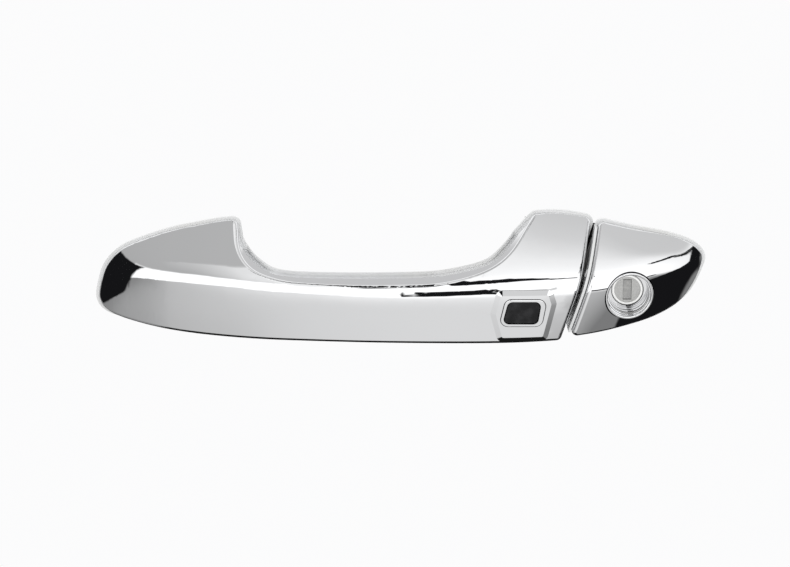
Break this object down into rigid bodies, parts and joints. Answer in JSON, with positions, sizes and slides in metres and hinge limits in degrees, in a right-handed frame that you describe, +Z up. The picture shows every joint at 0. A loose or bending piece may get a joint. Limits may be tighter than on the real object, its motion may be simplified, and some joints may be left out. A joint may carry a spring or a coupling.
{
  "type": "car door handle with plated covers",
  "caption": "Outside pull handle of a car door with bright plated covers, keyless button and key lock, on its inner frame with a bell crank for the latch rod.",
  "frame": {"origin": "midway between the two fixing screw holes of the inner frame, on the inner face of the door panel", "axes": "+X along the handle towards the key end, +Y into the door, +Z up"},
  "size_m": [0.2595, 0.082, 0.0576],
  "materials": {
    "chrome": "bright decorative plating on plastic",
    "body_paint": "gloss white paint",
    "black_plastic": "fine moulded texture",
    "frame_plastic": "glass filled, slightly rough",
    "button_black": "satin black",
    "zinc": "satin die-cast zinc",
    "steel": "zinc plated",
    "rubber": "matte",
    "foam_tape": "adhesive foam"
  },
  "bodies": {
    "frame": {"mounting_frame": "frame_plastic", "front_gasket": "rubber", "rear_gasket": "rubber", "pivot_pin": "steel", "crank_pin": "steel", "key_end_cover": "chrome", "key_end_tape": "foam_tape", "key_end_cap": "body_paint", "lock_trim_ring": "chrome", "lock_housing": "zinc", "lock_retaining_screw": "steel", "bump_stop": "rubber", "return_spring": "steel"},
    "handle": {"handle_cover": "chrome", "handle_cover_tape": "foam_tape", "handle_core": "black_plastic", "handle_back": "body_paint", "handle_screws": "steel", "button_bezel": "chrome", "button_housing": "black_plastic", "switch_dome": "rubber"},
    "button": {"request_button": "button_black"},
    "plug": {"lock_plug": "zinc", "lock_cam": "steel", "cam_clip": "steel"},
    "shutter": {"slot_shutter": "zinc"},
    "crank": {"bell_crank": "frame_plastic", "counterweight": "steel"}
  },
  "joints": [
    {"name": "handle_pull", "type": "hinge", "parent": "frame", "child": "handle", "pos_m": [-0.12, 0.006, 0], "axis": [0, 0, -1], "range_deg": [0, 7.5], "stiffness_Nm_per_rad": 6},
    {"name": "bell_crank_turn", "type": "hinge", "parent": "frame", "child": "crank", "pos_m": [0.06, 0.017, 0.0085], "axis": [-1, 0, 0], "range_deg": [0, 70]},
    {"name": "button_press", "type": "slide", "parent": "handle", "child": "button", "axis": [0, 1, 0], "range_m": [0, 0.0012], "stiffness_N_per_m": 300},
    {"name": "key_turn", "type": "hinge", "parent": "frame", "child": "plug", "pos_m": [0.0951, -0.0158, -0.0032], "axis": [0, 1, 0], "range_deg": [-60, 60]},
    {"name": "shutter_swing", "type": "hinge", "parent": "plug", "child": "shutter", "pos_m": [0.0951, -0.01445, 0.00065], "axis": [1, 0, 0], "range_deg": [0, 80], "stiffness_Nm_per_rad": 0.0005}
  ],
  "couplings": [
    {"joint": "bell_crank_turn", "follows": "handle_pull", "ratio": 9.3333}
  ]
}
